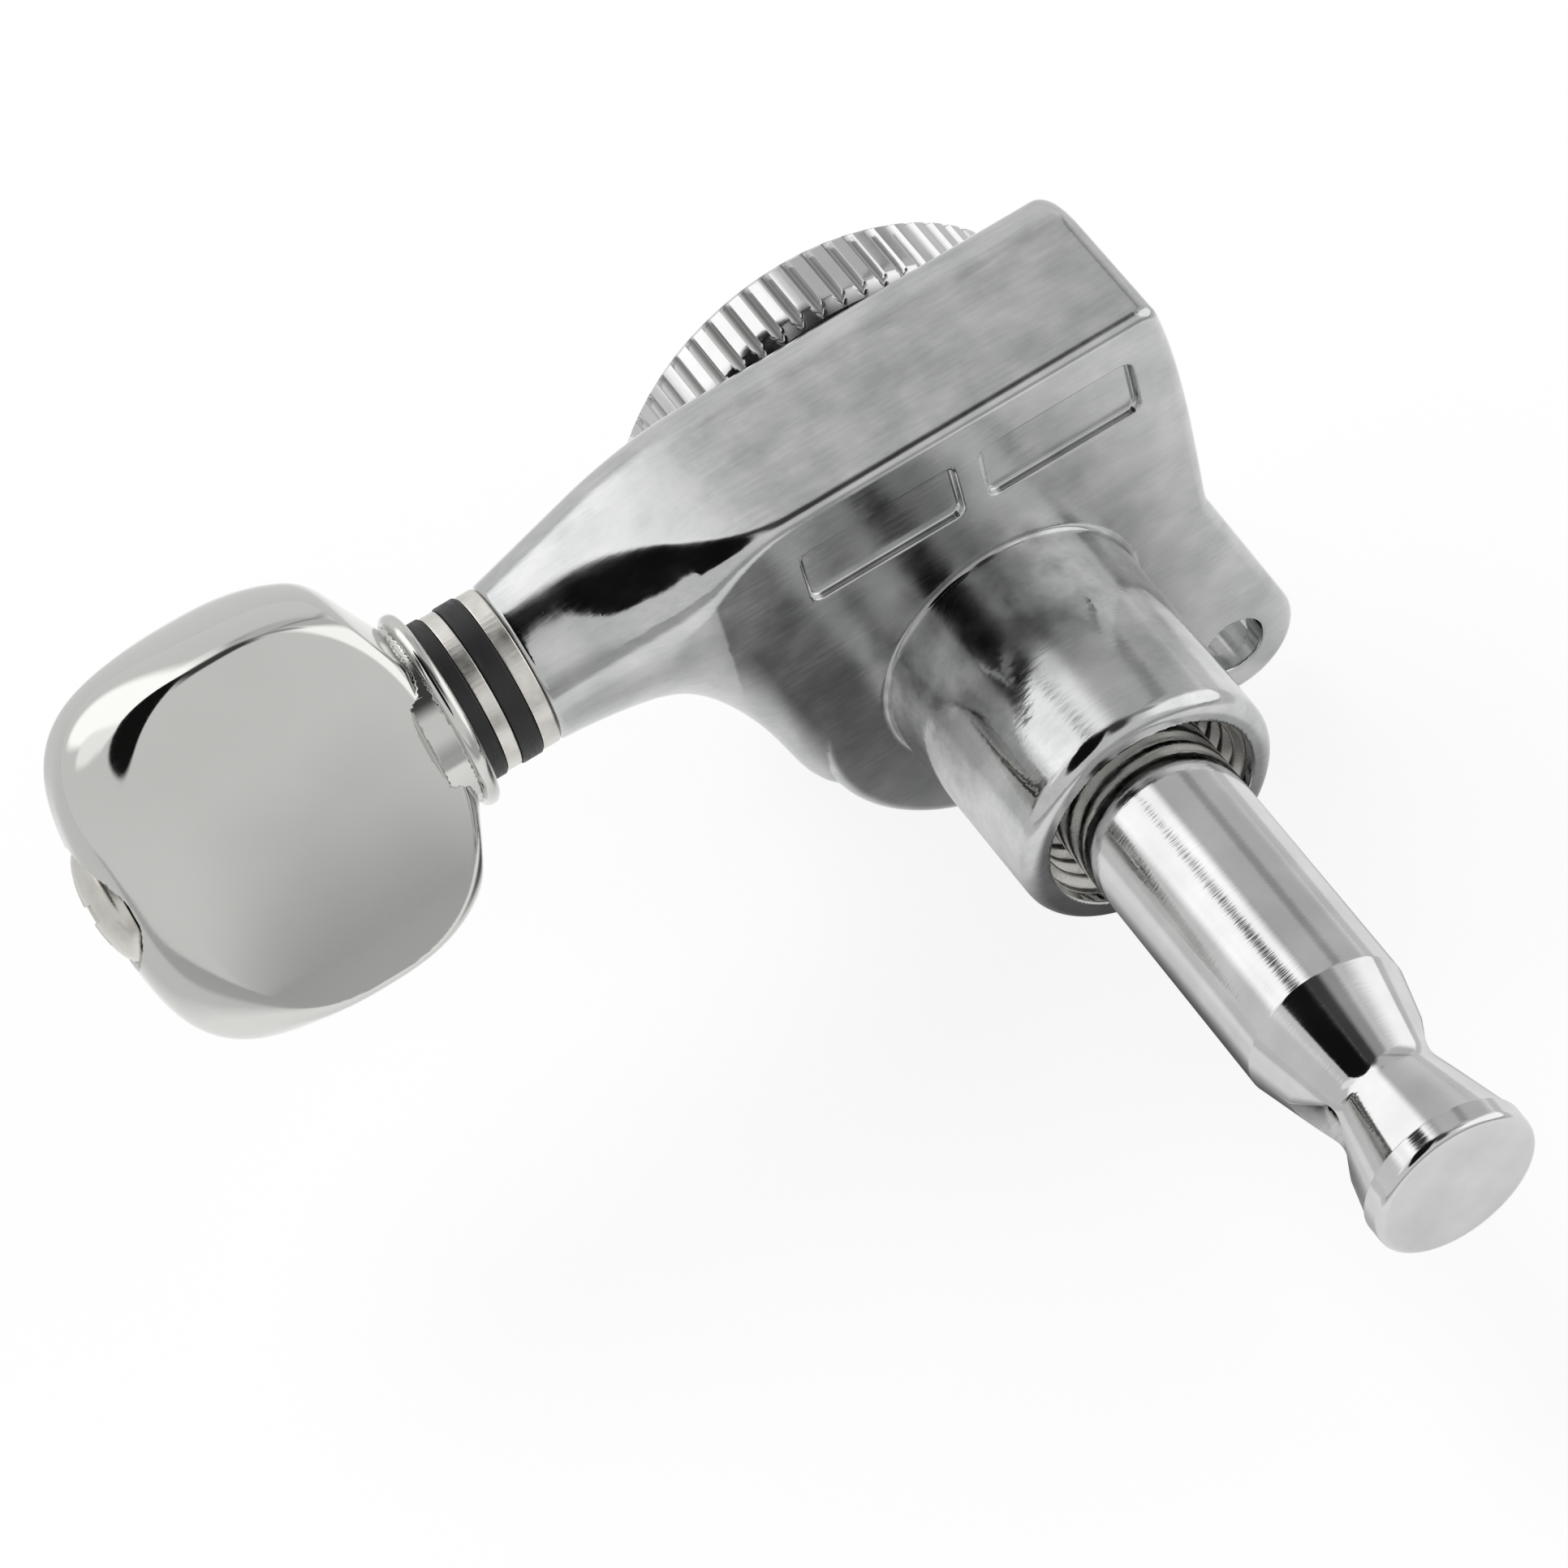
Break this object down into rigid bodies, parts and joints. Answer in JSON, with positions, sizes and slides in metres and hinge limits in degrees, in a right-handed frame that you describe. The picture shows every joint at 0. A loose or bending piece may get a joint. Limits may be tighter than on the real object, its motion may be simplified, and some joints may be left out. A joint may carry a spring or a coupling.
{
  "type": "guitar tuning machine",
  "caption": "Sealed guitar tuner: plated housing with worm and wheel, hollow string post, oval button on a washer stack, and a knurled rear thumbwheel that drives a string lock pin.",
  "frame": {"origin": "on the string post's axis, in the housing's front face that meets the back of the headstock", "axes": "the string post points to -Y, the button's shaft lies along X with the button at -X, and +Z is towards the housing's flat side where the shaft runs"},
  "size_m": [0.0427, 0.0401, 0.0246],
  "materials": {
    "plated_housing": "die-cast zinc, chrome plated, satin",
    "plated_cover": "chrome plated, satin",
    "bronze_neck_bush": "plain bearing bronze",
    "bronze_end_bush": "plain bearing bronze",
    "steel_shaft_washer": "ground",
    "plated_post": "chrome plated, polished",
    "brass_wheel": "cut brass",
    "steel_post_washer": "ground",
    "steel_spring_washer": "spring steel",
    "steel_nut": "turned",
    "steel_shaft": "turned and cut",
    "nickel_inner_washer": "nickel plated, brushed",
    "nylon_inner_washer": "black nylon",
    "nickel_outer_washer": "nickel plated, brushed",
    "nylon_outer_washer": "black nylon",
    "plated_button": "die-cast zinc, chrome plated, fine satin faces",
    "nickel_screw": "nickel plated",
    "steel_pin": "hardened, ground",
    "steel_stud": "turned",
    "plated_thumbwheel": "chrome plated, straight knurl"
  },
  "bodies": {
    "housing_body": {"housing": "plated_housing", "back_cover": "plated_cover", "neck_bush": "bronze_neck_bush", "shaft_end_bush": "bronze_end_bush", "shaft_thrust_washer": "steel_shaft_washer", "post_thrust_washer": "steel_post_washer", "inner_metal_washer": "nickel_inner_washer"},
    "button_body": {"worm_shaft": "steel_shaft", "inner_black_washer": "nylon_inner_washer", "outer_metal_washer": "nickel_outer_washer", "outer_black_washer": "nylon_outer_washer", "button": "plated_button", "button_screw": "nickel_screw"},
    "post_body": {"string_post": "plated_post", "worm_wheel": "brass_wheel", "wheel_spring_washer": "steel_spring_washer", "wheel_nut": "steel_nut"},
    "pin_body": {"lock_pin": "steel_pin"},
    "thumbwheel_body": {"thumbwheel": "plated_thumbwheel", "thumbwheel_stud": "steel_stud"}
  },
  "joints": [
    {"name": "button_turn", "type": "hinge", "parent": "housing_body", "child": "button_body", "pos_m": [0, 0.00372, 0.0082], "axis": [1, 0, 0], "continuous": true},
    {"name": "post_turn", "type": "hinge", "parent": "housing_body", "child": "post_body", "pos_m": [0, 0, 0], "axis": [0, 1, 0], "continuous": true},
    {"name": "lock_pin_slide", "type": "slide", "parent": "post_body", "child": "pin_body", "axis": [0, -1, 0], "range_m": [0, 0.00175]},
    {"name": "thumbwheel_turn", "type": "hinge", "parent": "pin_body", "child": "thumbwheel_body", "pos_m": [0, 0, 0], "axis": [0, -1, 0], "range_deg": [0, 1260]}
  ],
  "couplings": [
    {"joint": "post_turn", "follows": "button_turn", "ratio": -0.055556},
    {"joint": "thumbwheel_turn", "follows": "lock_pin_slide", "rad_per_m": 12566}
  ]
}
